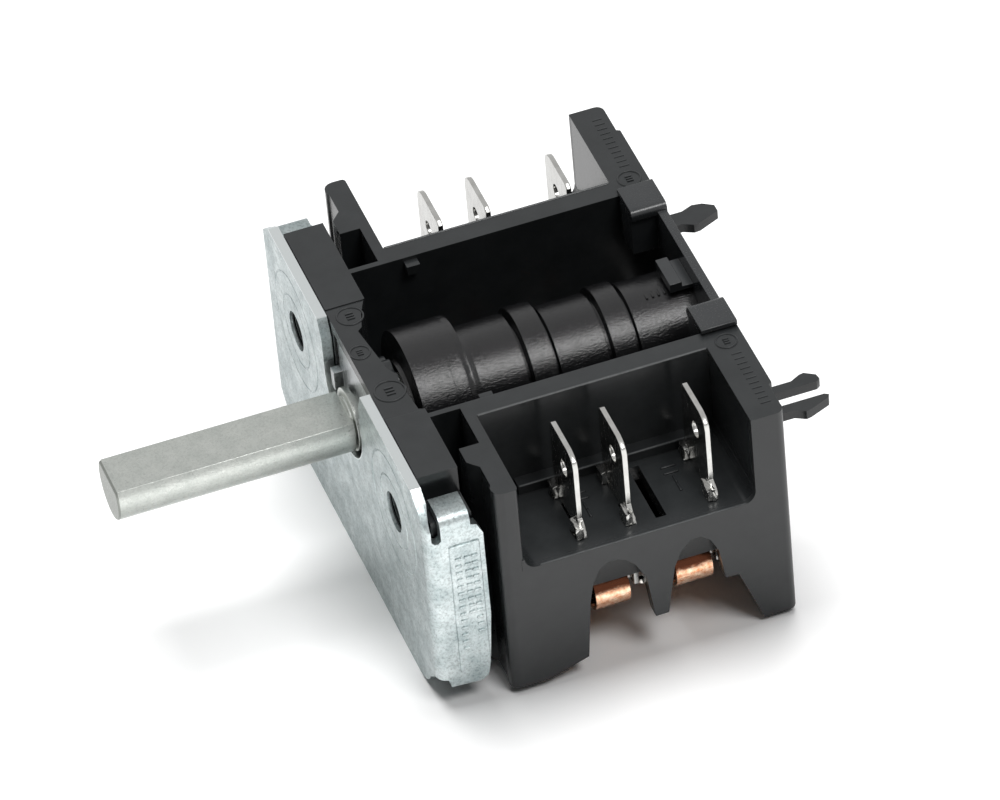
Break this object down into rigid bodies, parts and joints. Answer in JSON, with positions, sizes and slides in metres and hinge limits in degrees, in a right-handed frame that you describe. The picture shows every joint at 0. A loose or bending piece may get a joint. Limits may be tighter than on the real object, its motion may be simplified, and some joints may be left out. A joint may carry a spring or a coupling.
{
  "type": "oven selector switch",
  "caption": "Rotary cam selector switch for an oven: D-section shaft, folded steel bracket, black housing with cam drum, tab terminals on both sides and copper contact springs.",
  "frame": {"origin": "centre of the overall length and width, on the underside", "axes": "+Y from the shaft's tip to the rear pegs along the shaft, +Z to the open top, +X to the near side"},
  "size_m": [0.0486, 0.0658, 0.0258],
  "materials": {
    "zinc_sheet": "zinc plated",
    "shaft_steel": "satin drawn",
    "black_moulding": "satin",
    "drum_moulding": "glossy",
    "tin_plate": "bright tinned",
    "copper_strip": "bright rolled copper",
    "silver_contact": "bright silver",
    "spring_steel": "rolled"
  },
  "bodies": {
    "switch_body": {"mounting_bracket": "zinc_sheet", "housing": "black_moulding", "shaft_retainer": "spring_steel", "detent_spring": "spring_steel", "rear_cover": "black_moulding", "terminal_near_1": "tin_plate", "terminal_near_2": "tin_plate", "terminal_near_3": "tin_plate", "contact_spring_near_1": "copper_strip", "fixed_contact_near_1": "silver_contact", "moving_contact_near_1": "silver_contact", "contact_spring_near_2": "copper_strip", "fixed_contact_near_2": "silver_contact", "moving_contact_near_2": "silver_contact", "common_strip_near": "copper_strip", "terminal_far_1": "tin_plate", "terminal_far_2": "tin_plate", "terminal_far_3": "tin_plate", "contact_spring_far_1": "copper_strip", "fixed_contact_far_1": "silver_contact", "moving_contact_far_1": "silver_contact", "contact_spring_far_2": "copper_strip", "fixed_contact_far_2": "silver_contact", "moving_contact_far_2": "silver_contact", "common_strip_far": "copper_strip"},
    "rotor": {"shaft": "shaft_steel", "cam_drum": "drum_moulding", "detent_wheel": "black_moulding"}
  },
  "joints": [
    {"name": "shaft_turn", "type": "hinge", "parent": "switch_body", "child": "rotor", "pos_m": [0, 0, 0.0173], "axis": [0, 1, 0], "continuous": true, "deforming": ["detent_spring", "contact_spring_near_1", "contact_spring_near_2", "contact_spring_far_1", "contact_spring_far_2"]}
  ]
}
